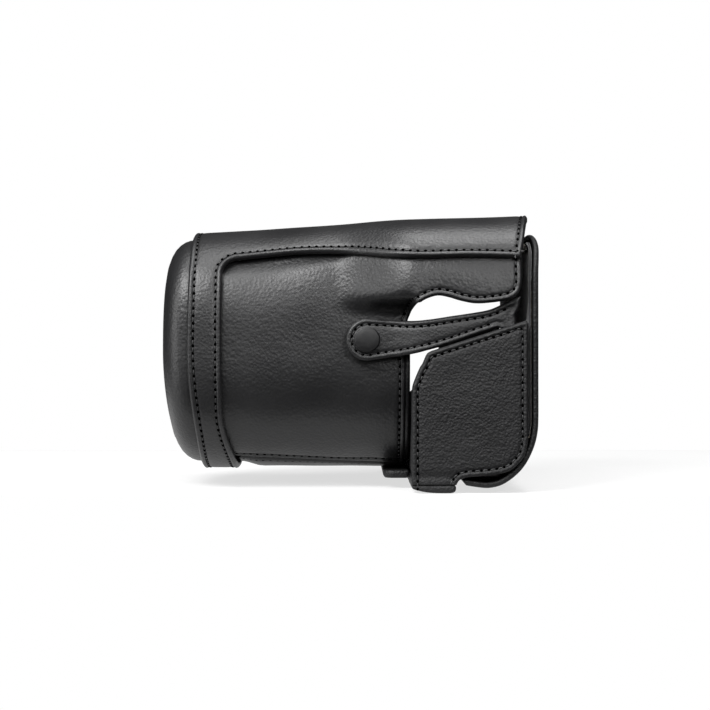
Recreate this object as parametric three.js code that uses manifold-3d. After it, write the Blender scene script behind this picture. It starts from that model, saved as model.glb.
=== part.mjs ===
// Leather ever ready case for a compact system camera with a standard zoom lens.
// Millimetres, +Z up. The lens points along -X, the camera's back is +X, its grip side is +Y.
// A half case holds the camera body, a cover with a lens barrel closes over it from the front,
// a padded flap closes the back, and a strap on the left side snaps onto the barrel.
import * as THREE from 'three';
import { mergeVertices } from 'three/addons/utils/BufferGeometryUtils.js';
import Module from 'manifold-3d';

const wasm = await Module();
wasm.setup();

// ---------------------------------------------------------------- driving dimensions
const joinX = 19.3;          // plane where the barrel meets the half case
const barrelLength = 77.3;   // front band to the joining plane
const capDepth = 10.8;       // how far the front cap stands out of the band
const bandWidth = 11.6;      // front band, front to back
const bayDepth = 39.8;       // joining plane to the back of the side panels
const lensZ = 48.8;          // lens axis above the foot
const bellyZ = 5.8;          // lowest line of the barrel
const crownFront = 91.4;     // top of the barrel at the front band
const crownRear = 96.6;       // top of the cover at its back edge
const barrelHalf = 46.5;     // half width of the barrel over the band
const leftHalf = 59.5;       // lens axis to the outside of the cover, left side
const rightHalf = 79.4;      // lens axis to the outside of the cover, grip side
const leather = 2;           // band, half case and flap leather
const softLeather = 1.8;     // barrel panel leather
const lining = 0.8;          // napped lining
const board = 1.2;           // stiffening board
const gap = 0.3;             // between pieces that touch
const sideTopRear = 58.8;    // half case side, top edge at the back
const sideTopFront = 48.4;   // the same edge where it starts to fall to the front
const sideNoseZ = 35.8;      // top of the half case's front edge
const footDepth = 15.2;      // raised foot under the front of the half case
const footHeight = 5.2;
const gripNoseDrop = 11;     // grip side of the half case is cut lower at the front
const gripWingLift = 7;      // and the cover's wing there is cut higher, for the hand
const strapWidth = 13.4;     // snap strap
const snapRadius = 4.65;     // snap cap
const rivetRadius = 1.5;     // shank of the snap's rivets
const snapX = 4.2;           // snap centre
const snapZ = 52.3;
const screwRadius = 3.17;    // quarter inch tripod screw
const screwHeadRadius = 8;
const screwSetback = 19.2;   // joining plane to the tripod screw
const windowMargin = 17;     // back frame around the screen window
const grooveWidth = 1;       // free space beside moving edges

// ---------------------------------------------------------------- derived planes
const frontX = joinX - barrelLength;
const bandRearX = frontX + bandWidth;
const noseX = frontX - capDepth;
const rearX = joinX + bayDepth;
const wingRearX = rearX - 2.2;
const under = leather + gap;                  // depth of the panels below the yoke
const liningDepth = under + softLeather + gap;
const innerDepth = liningDepth + lining;
const sideLeft = -(leftHalf - 2.5);           // outer faces of the half case sides
const sideRight = rightHalf - 2;
const hemZ = lensZ + 32.1;                    // lower edge of the yoke
const seamFrontZ = bellyZ + 5.2;              // lower seam of the barrel panels
const seamRearZ = bellyZ + 2.2;
const flareStart = joinX - 13;                // the cover widens here from barrel to body
const flareEnd = joinX + 1;
const wingLow = lensZ + 15.9;                 // lower edge of the wings
const baseZ = footHeight + gap;               // underside of the base panel
const boardZ = baseZ + leather + gap;
const seatZ = boardZ + board + gap + lining;  // what the camera stands on
const clipRadius = screwRadius + 2.2;         // spring clip that keeps the screw in the base
const bayFrontX = joinX + gap + leather + gap;

// ---------------------------------------------------------------- helpers
const smooth = (t) => THREE.MathUtils.smoothstep(t, 0, 1);

function toSolid(geometry) {
  const bare = geometry.index ? geometry.toNonIndexed() : geometry.clone();
  bare.deleteAttribute('normal');
  bare.deleteAttribute('uv');
  const merged = mergeVertices(bare, 1e-4);
  return new wasm.Manifold(new wasm.Mesh({
    numProp: 3,
    vertProperties: Float32Array.from(merged.attributes.position.array),
    triVerts: Uint32Array.from(merged.index.array),
  }));
}

function toGeometry(solid) {
  const data = solid.getMesh();
  const geometry = new THREE.BufferGeometry();
  geometry.setAttribute('position', new THREE.BufferAttribute(Float32Array.from(data.vertProperties), 3));
  geometry.setIndex(new THREE.BufferAttribute(Uint32Array.from(data.triVerts), 1));
  geometry.computeVertexNormals();
  return geometry;
}

// Outline drawn in X and Z, made solid from y0 to y1.
function sideways(shape, y0, y1) {
  const steps = { depth: y1 - y0, bevelEnabled: false, curveSegments: 6 };
  const geometry = new THREE.ExtrudeGeometry(shape, steps);
  geometry.rotateX(Math.PI / 2);
  return toSolid(geometry.translate(0, y1, 0));
}

// Outline drawn in X and Y, made solid from z0 to z1.
function upward(shape, z0, z1) {
  const steps = { depth: z1 - z0, bevelEnabled: false, curveSegments: 6 };
  return toSolid(new THREE.ExtrudeGeometry(shape, steps).translate(0, 0, z0));
}

// Outline drawn in Y and Z, made solid from x0 to x1.
function forward(shape, x0, x1) {
  const steps = { depth: x1 - x0, bevelEnabled: false, curveSegments: 6 };
  const geometry = new THREE.ExtrudeGeometry(shape, steps);
  geometry.rotateX(Math.PI / 2).rotateZ(Math.PI / 2);
  return toSolid(geometry.translate(x0, 0, 0));
}

function block(x0, x1, y0, y1, z0, z1) {
  const box = new THREE.BoxGeometry(x1 - x0, y1 - y0, z1 - z0);
  return toSolid(box.translate((x0 + x1) / 2, (y0 + y1) / 2, (z0 + z1) / 2));
}

// Rounded rectangle between two corners; the radii go round from the low corner.
function panelOutline(u0, u1, v0, v1, radius) {
  const shape = new THREE.Shape();
  shape.moveTo(u0 + radius, v0);
  shape.lineTo(u1 - radius, v0);
  shape.absarc(u1 - radius, v0 + radius, radius, -Math.PI / 2, 0);
  shape.absarc(u1 - radius, v1 - radius, radius, 0, Math.PI / 2);
  shape.absarc(u0 + radius, v1 - radius, radius, Math.PI / 2, Math.PI);
  shape.absarc(u0 + radius, v0 + radius, radius, Math.PI, Math.PI * 1.5);
  return shape;
}

// Turned piece on an axis along Z at (x, y).
function turned(profile, x, y, segments = 24) {
  const points = profile.map(([r, z]) => new THREE.Vector2(r, z));
  const geometry = new THREE.LatheGeometry(points, segments);
  return toSolid(geometry.rotateX(Math.PI / 2).translate(x, y, 0));
}

// Turned piece on an axis along Y at (x, z); the profile's second value is y.
function turnedAcross(profile, x, z, segments = 24) {
  const points = profile.map(([r, y]) => new THREE.Vector2(r, y));
  return toSolid(new THREE.LatheGeometry(points, segments).translate(x, 0, z));
}

const group = new THREE.Group();

function add(name, solid, color, roughness, metalness = 0) {
  const material = new THREE.MeshStandardMaterial({ color, roughness, metalness });
  const mesh = new THREE.Mesh(toGeometry(solid), material);
  mesh.name = name;
  group.add(mesh);
}

const hide = [0x17181a, 0.5];      // smooth black leather
const grained = [0x131416, 0.7];   // pebbled black leather
const nap = [0x2a2a2c, 0.95];      // napped lining
const card = [0x6b6257, 0.9];      // fibre board
const enamel = [0x101113, 0.3, 0.4];
const steel = [0xb9bbbd, 0.3, 1];

// ---------------------------------------------------------------- cover shape
const flareLow = wingLow - 3.5;
const flareHigh = wingLow + 3.5;
const flareSteps = [0, 0.25, 0.5, 0.75, 1].map((t) => flareLow + (flareHigh - flareLow) * t);
const crownSteps = 6;
const bellySteps = 10;
const crownZ = (x) => crownFront + (crownRear - crownFront) * (x - frontX) / (rearX - frontX);
const squareness = (x) => 3.2 + 1.8 * smooth((x - flareStart + 30) / 50);

function halfWidth(x, z, side) {
  const wide = side < 0 ? leftHalf : rightHalf;
  const along = smooth((x - flareStart) / (flareEnd - flareStart));
  const above = smooth((z - flareLow) / (flareHigh - flareLow));
  const beside = smooth((x - joinX - 0.2) / 2.5);
  return barrelHalf + (wide - barrelHalf) * along * Math.max(above, beside);
}

// Below, the barrel panels come out level with the band behind it.
const bellyRise = (x) => (under - 0.6) * smooth((x - bandRearX - 5) / 8);

// Directions of one quarter of a cross-section: chosen heights first, then even steps to the crown.
function crownAngles(x, squareTop) {
  const levels = [lensZ, lensZ + 6, ...flareSteps, hemZ - 7, hemZ + 2];
  const height = crownZ(x) - lensZ;
  const angles = levels.map((z) => Math.asin(((z - lensZ) / height) ** (squareTop / 2)));
  const last = angles[angles.length - 1];
  for (let k = 1; k <= crownSteps; k += 1) angles.push(last + ((Math.PI / 2 - last) * k) / crownSteps);
  return angles;
}

// Cross-section of the cover at x, shrunk by an inset; a layer under the band rises behind it.
function ring(x, inset, rises = false) {
  const squareTop = squareness(x);
  const squareBelly = 2.5;
  const up = crownZ(x) - inset - lensZ;
  const down = lensZ - bellyZ - inset + (rises ? bellyRise(x) : 0);
  const crown = crownAngles(x, squareTop);
  const belly = crown.map((_, k) => (Math.PI / 2) * (k / bellySteps)).slice(1, bellySteps + 1);
  const right = [...belly.map((a) => -a).reverse(), ...crown];
  const left = right.slice(1, -1).map((a) => Math.PI - a).reverse();
  return [...right, ...left].map((angle) => {
    const c = Math.cos(angle);
    const s = Math.sin(angle);
    const power = 2 / (s >= 0 ? squareTop : squareBelly);
    const z = lensZ + Math.sign(s) * (s >= 0 ? up : down) * Math.abs(s) ** power;
    const half = halfWidth(x, z, c) - inset;
    return new THREE.Vector3(x, Math.sign(c) * half * Math.abs(c) ** power, z);
  });
}

// Solid through a row of rings from low to high x.
function loft(rings) {
  const positions = [];
  const count = rings[0].length;
  const push = (...list) => list.forEach((p) => positions.push(p.x, p.y, p.z));
  for (let i = 0; i + 1 < rings.length; i += 1) {
    for (let k = 0; k < count; k += 1) {
      const n = (k + 1) % count;
      push(rings[i][k], rings[i][n], rings[i + 1][n]);
      push(rings[i][k], rings[i + 1][n], rings[i + 1][k]);
    }
  }
  const ends = [[rings[0], true], [rings[rings.length - 1], false]];
  for (const [points, start] of ends) {
    const peak = Math.max(...points.map((p) => p.z));
    const hub = new THREE.Vector3(points[0].x, 0, lensZ + (peak - lensZ) * 0.53);
    for (let k = 0; k < count; k += 1) {
      const n = (k + 1) % count;
      if (start) push(hub, points[n], points[k]);
      else push(hub, points[k], points[n]);
    }
  }
  const geometry = new THREE.BufferGeometry();
  geometry.setAttribute('position', new THREE.Float32BufferAttribute(positions, 3));
  return toSolid(geometry);
}

const flareStations = [0, 0.25, 0.5, 0.75, 0.88, 1].map((t) => flareStart + (flareEnd - flareStart) * t);
const backEdge = rearX + 4.5;
const stations = (from, to) => {
  const inner = [bandRearX + 5, bandRearX + 9, bandRearX + 13, ...flareStations];
  return [from, ...inner.filter((x) => x > from + 1 && x < to - 1), to];
};

function shell(from, to, outer, inner, rises = false) {
  const outside = loft(stations(from, to).map((x) => ring(x, outer, rises)));
  const inside = loft(stations(from - 1, to + 1).map((x) => ring(x, inner, rises)));
  return outside.subtract(inside);
}

// ---------------------------------------------------------------- cover outlines, seen from the side
const below = -20;
const above = crownRear + 20;

// The band round the front and the top of the cover in one outline, with a rounded inner corner.
function yokeOutline() {
  const corner = 6;
  const shape = new THREE.Shape();
  shape.moveTo(frontX - 5, below);
  shape.lineTo(bandRearX + 4.2, below);
  shape.lineTo(bandRearX + 4.2, bellyZ + 1);
  shape.quadraticCurveTo(bandRearX + 1, bellyZ + 6, bandRearX, lensZ - 14);
  shape.lineTo(bandRearX, hemZ - corner);
  shape.quadraticCurveTo(bandRearX, hemZ + 0.4, bandRearX + corner, hemZ + 0.4);
  shape.splineThru([
    new THREE.Vector2(bandRearX + 24, hemZ + 2),
    new THREE.Vector2(flareStart - 14, hemZ + 2),
    new THREE.Vector2(flareStart + 5, hemZ + 0.1),
    new THREE.Vector2(rearX + 10, hemZ - 0.2),
  ]);
  shape.lineTo(rearX + 10, above);
  shape.lineTo(frontX - 5, above);
  return shape;
}

// Barrel side panel with its wing: under the band at the front and under the yoke at the top.
function sidePanelOutline(inset, lift) {
  const back = joinX - 1.6 - inset;
  const wing = wingLow + lift;
  const shape = new THREE.Shape();
  shape.moveTo(bandRearX - 5.6 + inset, seamFrontZ + inset);
  shape.lineTo(back, seamRearZ + inset);
  shape.lineTo(back, wing - 11);
  shape.splineThru([
    new THREE.Vector2(joinX + 0.5 - inset, wing - 3.1 + inset),
    new THREE.Vector2(joinX + 4.7, wing + 1.3 + inset),
    new THREE.Vector2(joinX + 8.8, wing + 2.7 + inset),
    new THREE.Vector2(joinX + 16.7, wing + 0.8 + inset),
    new THREE.Vector2(joinX + 22, wing + inset),
    new THREE.Vector2(wingRearX - 8, wing + 0.5 + inset),
    new THREE.Vector2(wingRearX - 2 - inset, wing + 3 + inset),
    new THREE.Vector2(wingRearX - inset, wing + 8),
  ]);
  shape.lineTo(wingRearX - inset, hemZ + 5);
  shape.lineTo(bandRearX - 5.6 + inset, hemZ + 5);
  return shape;
}

const wide = rightHalf + 20;

// ---------------------------------------------------------------- cover
function makeCover() {
  // Back edge of the yoke in plan: it bows out behind the camera.
  const plan = new THREE.Shape();
  plan.moveTo(frontX - 5, -wide);
  plan.lineTo(wingRearX, -wide);
  plan.lineTo(wingRearX, -leftHalf + 2);
  plan.splineThru([
    new THREE.Vector2(wingRearX + 4, -leftHalf + 12),
    new THREE.Vector2(backEdge, -leftHalf + 38),
    new THREE.Vector2(backEdge, rightHalf - 38),
    new THREE.Vector2(wingRearX + 4, rightHalf - 12),
    new THREE.Vector2(wingRearX, rightHalf - 2),
  ]);
  plan.lineTo(wingRearX, wide);
  plan.lineTo(frontX - 5, wide);
  const planCut = upward(plan, below, above);

  const yoke = shell(frontX, backEdge + 2, 0, leather)
    .intersect(sideways(yokeOutline(), -wide, wide))
    .intersect(planCut);
  add('yoke_band', yoke, ...hide);

  const panels = shell(bandRearX - 6, wingRearX + 3, under, under + softLeather, true);
  const leftPanel = panels.intersect(sideways(sidePanelOutline(0, 0), -wide, 0));
  const rightPanel = panels.intersect(sideways(sidePanelOutline(0, gripWingLift), 0, wide));
  const rivetHole = throughHole(-(barrelHalf - under));
  add('left_barrel_panel', leftPanel.subtract(rivetHole), ...hide);
  add('right_barrel_panel', rightPanel, ...hide);

  // Gusset closing the barrel underneath, between the two side panels.
  const gusset = new THREE.Shape();
  gusset.moveTo(bandRearX + 4.6, below);
  gusset.lineTo(joinX - 0.3, below);
  gusset.lineTo(joinX - 0.3, seamRearZ - gap);
  gusset.lineTo(bandRearX + 4.6, seamFrontZ - 0.3 - gap);
  add('bottom_gusset', shell(bandRearX + 3, joinX + 2, under, under + softLeather, true)
    .intersect(sideways(gusset, -wide, wide)), ...hide);

  // Napped lining: the whole barrel, and the top between the wings.
  const innerSkin = shell(bandRearX - 5, wingRearX - 0.8, liningDepth, innerDepth, true);
  const coat = sideways(liningOutline(0), -wide, 0).add(sideways(liningOutline(gripWingLift), 0, wide));
  add('cover_lining', innerSkin.intersect(coat).subtract(rivetHole), ...nap);

  // Folded edge strips behind the barrel panels.
  for (const [name, y0, y1] of [['left_edge_strip', -wide, 0], ['right_edge_strip', 0, wide]]) {
    const strip = new THREE.Shape();
    strip.moveTo(joinX - 1.3, seamRearZ + 0.5);
    strip.lineTo(joinX - 0.1, seamRearZ + 0.5);
    strip.lineTo(joinX - 0.1, wingLow - 14);
    strip.lineTo(joinX - 1.3, wingLow - 14);
    const skin = shell(joinX - 3, joinX + 1, under - 0.4, under + softLeather, true);
    add(name, skin.intersect(sideways(strip, y0, y1)), ...hide);
  }

  makeCap();
  makeTongue();
  makeStud();
}

function liningOutline(lift) {
  const wing = wingLow + lift;
  const shape = new THREE.Shape();
  shape.moveTo(bandRearX - 5, below);
  shape.lineTo(joinX - 2.6, below);
  shape.lineTo(joinX - 2.6, wing - 9);
  shape.lineTo(joinX + 6, wing + 4);
  shape.lineTo(wingRearX - 4, wing + 4);
  shape.lineTo(wingRearX - 1.2, wing + 8);
  shape.lineTo(wingRearX - 1.2, above);
  shape.lineTo(bandRearX - 5, above);
  return shape;
}

// Front cap: a moulded dish whose skirt sits inside the band.
function makeCap() {
  const skirtX = bandRearX - 6 - gap;
  const face = [[skirtX, 0], [noseX + 6.2, 0], [noseX + 2.6, 2.2], [noseX + 0.9, 5.4],
    [noseX + 0.2, 11], [noseX, 24]];
  const outer = face.map(([x, inset]) => ring(x, under + inset)).reverse();
  const dish = face.map(([x, inset]) => ring(x + leather, under + inset + leather)).reverse();
  dish.push(ring(skirtX + 6, under + leather));
  add('front_cap', loft(outer).subtract(loft(dish)), ...hide);
  const depth = noseX + leather + 0.6;
  const plate = (x, thick, inset) => loft([ring(x, inset), ring(x + thick, inset)]);
  add('cap_board', plate(depth + 0.9, board, under + leather + 6), ...card);
  add('cap_lining', plate(depth + 0.9 + board + gap, lining, under + leather + 5), ...nap);
}

// Tongue under the barrel: the leather hinge between cover and half case.
function makeTongue() {
  const shape = new THREE.Shape();
  shape.moveTo(joinX - 9.3, -barrelHalf + 19);
  shape.quadraticCurveTo(joinX - 9.3, -barrelHalf + 15, joinX - 5, -barrelHalf + 15);
  shape.lineTo(joinX - 0.3, -barrelHalf + 15);
  shape.lineTo(joinX - 0.3, barrelHalf - 15);
  shape.lineTo(joinX - 5, barrelHalf - 15);
  shape.quadraticCurveTo(joinX - 9.3, barrelHalf - 15, joinX - 9.3, barrelHalf - 19);
  add('cover_tongue', upward(shape, bellyZ - 2.4, bellyZ - 0.4), ...grained);
}

// Round hole across a layer whose face is at y, on the snap's axis.
function throughHole(y) {
  return turnedAcross([[0, y - 6], [rivetRadius + gap, y - 6], [rivetRadius + gap, y + 6], [0, y + 6]],
    snapX, snapZ, 16);
}

// Turned part of the snap on the left side; the profile's second value points out of the case.
function snapPiece(profile, face) {
  const points = profile.map(([r, out]) => [r, -(face + out)]).reverse();
  return turnedAcross(points, snapX, snapZ, 24);
}

// Snap stud riveted through the barrel panel and its lining.
function makeStud() {
  const inner = -(innerDepth - under + gap);
  const profile = [[0, inner - 0.7], [4, inner - 0.7], [4, inner], [rivetRadius, inner], [rivetRadius, gap],
    [4, gap], [4, gap + 0.7], [2.2, gap + 0.8], [2, gap + 1.1], [0, gap + 1.1]];
  add('snap_stud', snapPiece(profile, barrelHalf - under), ...steel);
}

// ---------------------------------------------------------------- half case
const sideTopZ = (x) => sideTopFront + (sideTopRear - sideTopFront) * (x - joinX - 6.7) / (bayDepth - 7.2);

// Side of the half case; the grip side is cut lower at the front.
function sideOutline(inset, floor, side) {
  const drop = side > 0 ? gripNoseDrop : 0;
  const nose = sideNoseZ - drop;
  const shoulder = joinX + 6.7 + drop * 0.9;
  const shoulderZ = sideTopZ(shoulder);
  const shape = new THREE.Shape();
  shape.moveTo(joinX + inset, floor);
  shape.lineTo(joinX + footDepth - inset, floor);
  shape.quadraticCurveTo(joinX + footDepth + 1, footHeight, joinX + footDepth + 5, footHeight + inset);
  shape.lineTo(rearX - 11, footHeight + 0.6 + inset);
  shape.splineThru([
    new THREE.Vector2(rearX - 4.2 - inset * 0.7, footHeight + 3.8 + inset * 0.7),
    new THREE.Vector2(rearX - 1.2 - inset, footHeight + 7.6 + inset * 0.5),
    new THREE.Vector2(rearX - inset, footHeight + 13),
  ]);
  shape.lineTo(rearX - inset, sideTopRear - inset);
  shape.lineTo(shoulder, shoulderZ - inset);
  shape.quadraticCurveTo(shoulder - 2.3 + inset, shoulderZ - 2 - inset - drop,
    shoulder - 3.7 + inset - drop * 0.3, shoulderZ - 6 - drop);
  shape.lineTo(joinX + inset, nose - inset);
  return shape;
}

function makeHalfCase() {
  const floor = 2.9;
  const innerLeft = sideLeft + leather + gap;
  const innerRight = sideRight - leather - gap;
  add('left_side_panel', sideways(sideOutline(0, floor, -1), sideLeft, sideLeft + leather), ...grained);
  add('right_side_panel', sideways(sideOutline(0, floor, 1), sideRight - leather, sideRight), ...grained);

  const bayWall = (y0, y1, side) => sideways(sideOutline(2.5, boardZ, side), y0, y1)
    .intersect(block(bayFrontX + lining + gap, rearX - 3.6, y0, y1, seatZ, above));
  add('left_side_lining', bayWall(innerLeft, innerLeft + lining, -1), ...nap);
  add('right_side_lining', bayWall(innerRight - lining, innerRight, 1), ...nap);

  // Base: outer leather, board and lining, with the hole for the tripod screw.
  const baseRear = rearX - 9;
  const screwX = joinX + screwSetback;
  const hole = (radius) => turned([[0, -1], [radius, -1], [radius, 30], [0, 30]], screwX, 0);
  const screwHole = screwRadius + 1.6;
  const basePlate = (x0, z0, z1, inset, holeRadius) => upward(
    panelOutline(x0, baseRear, innerLeft + inset, innerRight - inset, 2), z0, z1).subtract(hole(holeRadius));
  add('base_panel', basePlate(bayFrontX, baseZ, baseZ + leather, 0, screwHole), ...grained);
  add('base_board', basePlate(bayFrontX, boardZ, boardZ + board, 0, screwHole), ...card);
  add('base_lining', basePlate(bayFrontX + lining + 2 * gap, seatZ - lining, seatZ,
    lining + 2 * gap, clipRadius + gap), ...nap);

  // Foot: a folded block of leather across the front of the base.
  const foot = new THREE.Shape();
  foot.moveTo(joinX, 1.4);
  foot.quadraticCurveTo(joinX + 4, 0, joinX + 8, 0);
  foot.lineTo(joinX + footDepth - 1.6, 0);
  foot.quadraticCurveTo(joinX + footDepth, 0, joinX + footDepth, 1.6);
  foot.lineTo(joinX + footDepth, floor - gap);
  foot.lineTo(joinX, floor - gap);
  const heel = block(joinX, joinX + footDepth - 4, innerLeft, innerRight, floor - gap - 0.5, footHeight);
  const headRoom = screwHeadRadius + grooveWidth;
  const well = turned([[0, -1], [headRoom, -1], [headRoom, 30], [0, 30]], screwX, 0);
  add('front_foot', sideways(foot, sideLeft, sideRight).add(heel).subtract(well), ...grained);

  // Front wall with the opening for the lens, and its lining.
  const lensHalf = barrelHalf - 8.5;
  const wallOutline = (inset, low) => {
    const leftTop = sideNoseZ - 1 - inset;
    const rightTop = sideNoseZ - gripNoseDrop - 1 - inset;
    const shape = new THREE.Shape();
    shape.moveTo(innerLeft + inset, low);
    shape.lineTo(innerRight - inset, low);
    shape.lineTo(innerRight - inset, rightTop);
    shape.lineTo(lensHalf + 4 + inset, rightTop);
    shape.quadraticCurveTo(lensHalf - 6, seatZ + 3 - inset, 0, seatZ + 2 - inset);
    shape.quadraticCurveTo(-lensHalf + 6, seatZ + 3 - inset, -lensHalf + 2 - inset, leftTop - 5);
    shape.quadraticCurveTo(-lensHalf - inset, leftTop, -lensHalf - 4 - inset, leftTop);
    shape.lineTo(innerLeft + inset, leftTop);
    return shape;
  };
  const gripX0 = joinX - 12;
  const gripY0 = barrelHalf + 4.2;
  const gripLow = baseZ + 1;
  const gripMouth = block(joinX - 1, bayFrontX + 2, gripY0 + leather, wide, gripLow + leather, above);
  add('front_wall', forward(wallOutline(0, baseZ), joinX + gap, joinX + gap + leather)
    .subtract(gripMouth), ...grained);
  add('front_lining', forward(wallOutline(1, seatZ + gap), bayFrontX, bayFrontX + lining)
    .subtract(gripMouth), ...nap);

  // Moulded cover over the camera's grip, open to the bay behind it.
  const gripLayer = (inset) => upward(gripPlan(gripX0, gripY0, inset), gripLow + inset,
    sideNoseZ - gripNoseDrop - 2 - inset);
  add('grip_cover', gripLayer(0).subtract(gripLayer(leather)), ...grained);

  makeBack(innerLeft, innerRight, screwX);
  makeStrapAnchor();
}

function gripPlan(x0, y0, inset) {
  const y1 = sideRight - 2.6;
  const shape = new THREE.Shape();
  const back = inset > 0 ? joinX + 5 : joinX;
  shape.moveTo(back, y0 + inset);
  shape.quadraticCurveTo(x0 + inset, y0 + inset, x0 + inset, (y0 + y1) / 2);
  shape.quadraticCurveTo(x0 + inset, y1 - inset, back, y1 - inset);
  return shape;
}

// Back of the half case: a frame round the screen window and the fixed root of the flap.
function makeBack(innerLeft, innerRight, screwX) {
  const frameX = rearX - 3.2;
  const low = footHeight + 9;
  const high = sideTopRear - 1;
  const frame = forward(panelOutline(innerLeft, innerRight, low, high, 4), frameX, frameX + 1.6);
  const windowShape = panelOutline(innerLeft + windowMargin, innerRight - windowMargin - 10,
    low + 7, high + 40, 3);
  add('back_frame', frame.subtract(forward(windowShape, frameX - 2, frameX + 4)), ...grained);

  const anchor = new THREE.Shape();
  anchor.moveTo(rearX - 22, footHeight - 2.9);
  anchor.quadraticCurveTo(rearX - 13, footHeight - 4.7, rearX - 7.5, footHeight - 1.2);
  anchor.quadraticCurveTo(rearX - 2.4, footHeight + 2, rearX + 0.6, flapFoldZ - gap);
  anchor.lineTo(rearX - 1.1, flapFoldZ - gap);
  anchor.quadraticCurveTo(rearX - 3.4, footHeight + 2.9, rearX - 8.2, footHeight - 0.1);
  anchor.quadraticCurveTo(rearX - 13, footHeight - 2.9, rearX - 22, footHeight - 1.2);
  const notch = block(rearX - 30, screwX + screwHeadRadius + 3, -screwHeadRadius - 3,
    screwHeadRadius + 3, -5, footHeight + 5);
  add('flap_anchor', sideways(anchor, sideLeft + 1, sideRight - 1).subtract(notch), ...grained);
}

// ---------------------------------------------------------------- back flap
const flapFoldZ = footHeight + 7.4;
const flapTop = crownRear - 6.9;

function makeFlap() {
  // Side view of one layer, curving in at the fold below and under the yoke above.
  const layerOutline = (inset, thick) => {
    const outer = rearX + 3.2 - inset;
    const shape = new THREE.Shape();
    shape.moveTo(outer - 2.5, flapFoldZ);
    shape.quadraticCurveTo(outer, flapFoldZ + 6, outer, flapFoldZ + 13);
    shape.lineTo(outer, flapTop - 12);
    shape.quadraticCurveTo(outer + 0.6, flapTop - 4, outer - 2.6, flapTop);
    shape.lineTo(outer - 2.6 - thick, flapTop);
    shape.quadraticCurveTo(outer + 0.6 - thick, flapTop - 4, outer - thick, flapTop - 12);
    shape.lineTo(outer - thick, flapFoldZ + 13);
    shape.quadraticCurveTo(outer - thick, flapFoldZ + 6, outer - 2.5 - thick, flapFoldZ);
    return shape;
  };
  // Rounded upper corners and a plain lower edge, seen from behind.
  const layer = (inset, thick, low, margin) => sideways(layerOutline(inset, thick), sideLeft, sideRight)
    .intersect(forward(panelOutline(sideLeft + margin, sideRight - margin, -40, flapTop - margin + 0.6, 20),
      rearX - 20, rearX + 20))
    .intersect(block(rearX - 20, rearX + 20, sideLeft, sideRight, low, above));
  add('back_flap', layer(0, 1.6, flapFoldZ, 1.4), ...grained);
  add('flap_board', layer(1.6 + gap, 0.7, flapFoldZ + 6, 4), ...card);
  add('flap_pad', layer(1.6 + gap + 0.7 + gap, 0.7, flapFoldZ + 6, 3), ...nap);
}

// ---------------------------------------------------------------- snap strap, on the left side
const strapFoldX = rearX - 9.2;      // where the strap bends out
const strapThick = 2;
const strapRise = 2.9;               // strap above the barrel panel, room for the snap
const strapNear = barrelHalf - under + strapRise;
const strapFar = -sideLeft - leather - gap - lining - gap - strapThick;

// Strap seen from the side: round snap end, slim waist, rising to its root.
function strapOutline() {
  const half = strapWidth / 2;
  const shape = new THREE.Shape();
  shape.moveTo(snapX + 3, snapZ - half - 0.3);
  shape.splineThru([
    new THREE.Vector2(joinX - 2, snapZ - half + 1.2),
    new THREE.Vector2(joinX + 6.7, sideTopFront + 0.6),
    new THREE.Vector2(joinX + 18, sideTopZ(joinX + 18) + 0.5),
    new THREE.Vector2(strapFoldX - 4, sideTopZ(strapFoldX) + 0.7),
    new THREE.Vector2(strapFoldX - gap, sideTopZ(strapFoldX) + 1.4),
  ]);
  shape.lineTo(strapFoldX - gap, wingLow - 1.2);
  shape.splineThru([
    new THREE.Vector2(joinX + 20, wingLow - 3.2),
    new THREE.Vector2(joinX + 8, wingLow - 5.3),
    new THREE.Vector2(joinX - 4, snapZ + half - 0.2),
    new THREE.Vector2(snapX + 1, snapZ + half + 0.2),
  ]);
  shape.absarc(snapX + 0.4, snapZ, half + 0.7, Math.PI / 2, Math.PI * 1.5 + 0.2);
  return shape;
}

// Strap seen from above: flat on the barrel, then along the side of the half case.
function strapPlan() {
  const inner = [[snapX - 10, strapNear], [joinX - 6, strapNear], [joinX + 4, strapFar],
    [strapFoldX + 5, strapFar]];
  const outer = inner.map(([x, y]) => [x, y + strapThick]).reverse();
  return new THREE.Shape([...inner, ...outer].map(([x, y]) => new THREE.Vector2(x, -y)).reverse());
}

function makeStrap() {
  const top = strapThick + gap;
  const body = sideways(strapOutline(), -wide, 0).intersect(upward(strapPlan(), below, above));
  add('snap_strap', body.subtract(throughHole(-strapNear)), ...grained);
  add('snap_cap', snapPiece([[0, -0.9], [rivetRadius, -0.9], [rivetRadius, top], [snapRadius - 0.2, top],
    [snapRadius, top + 0.5], [snapRadius - 0.7, top + 1.3], [snapRadius - 2.4, top + 1.7],
    [0, top + 1.8]], strapNear), ...enamel);
  add('snap_socket', snapPiece([[rivetRadius + gap, -gap - 0.9], [3.7, -gap - 0.9], [4, -gap - 0.5],
    [4, -gap], [rivetRadius + gap, -gap], [rivetRadius + gap, -gap - 0.9]], strapNear), ...steel);
}

// Fixed root of the strap, stitched inside the half case side.
function makeStrapAnchor() {
  const shape = new THREE.Shape();
  shape.moveTo(strapFoldX + gap, sideTopZ(strapFoldX) - 9);
  shape.lineTo(rearX - 3.6, sideTopZ(rearX) - 12);
  shape.lineTo(rearX - 3.6, wingLow + 1.5);
  shape.lineTo(strapFoldX + gap, wingLow - 1.2);
  add('strap_anchor', sideways(shape, -strapFar - strapThick, -strapFar), ...grained);
}

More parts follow.
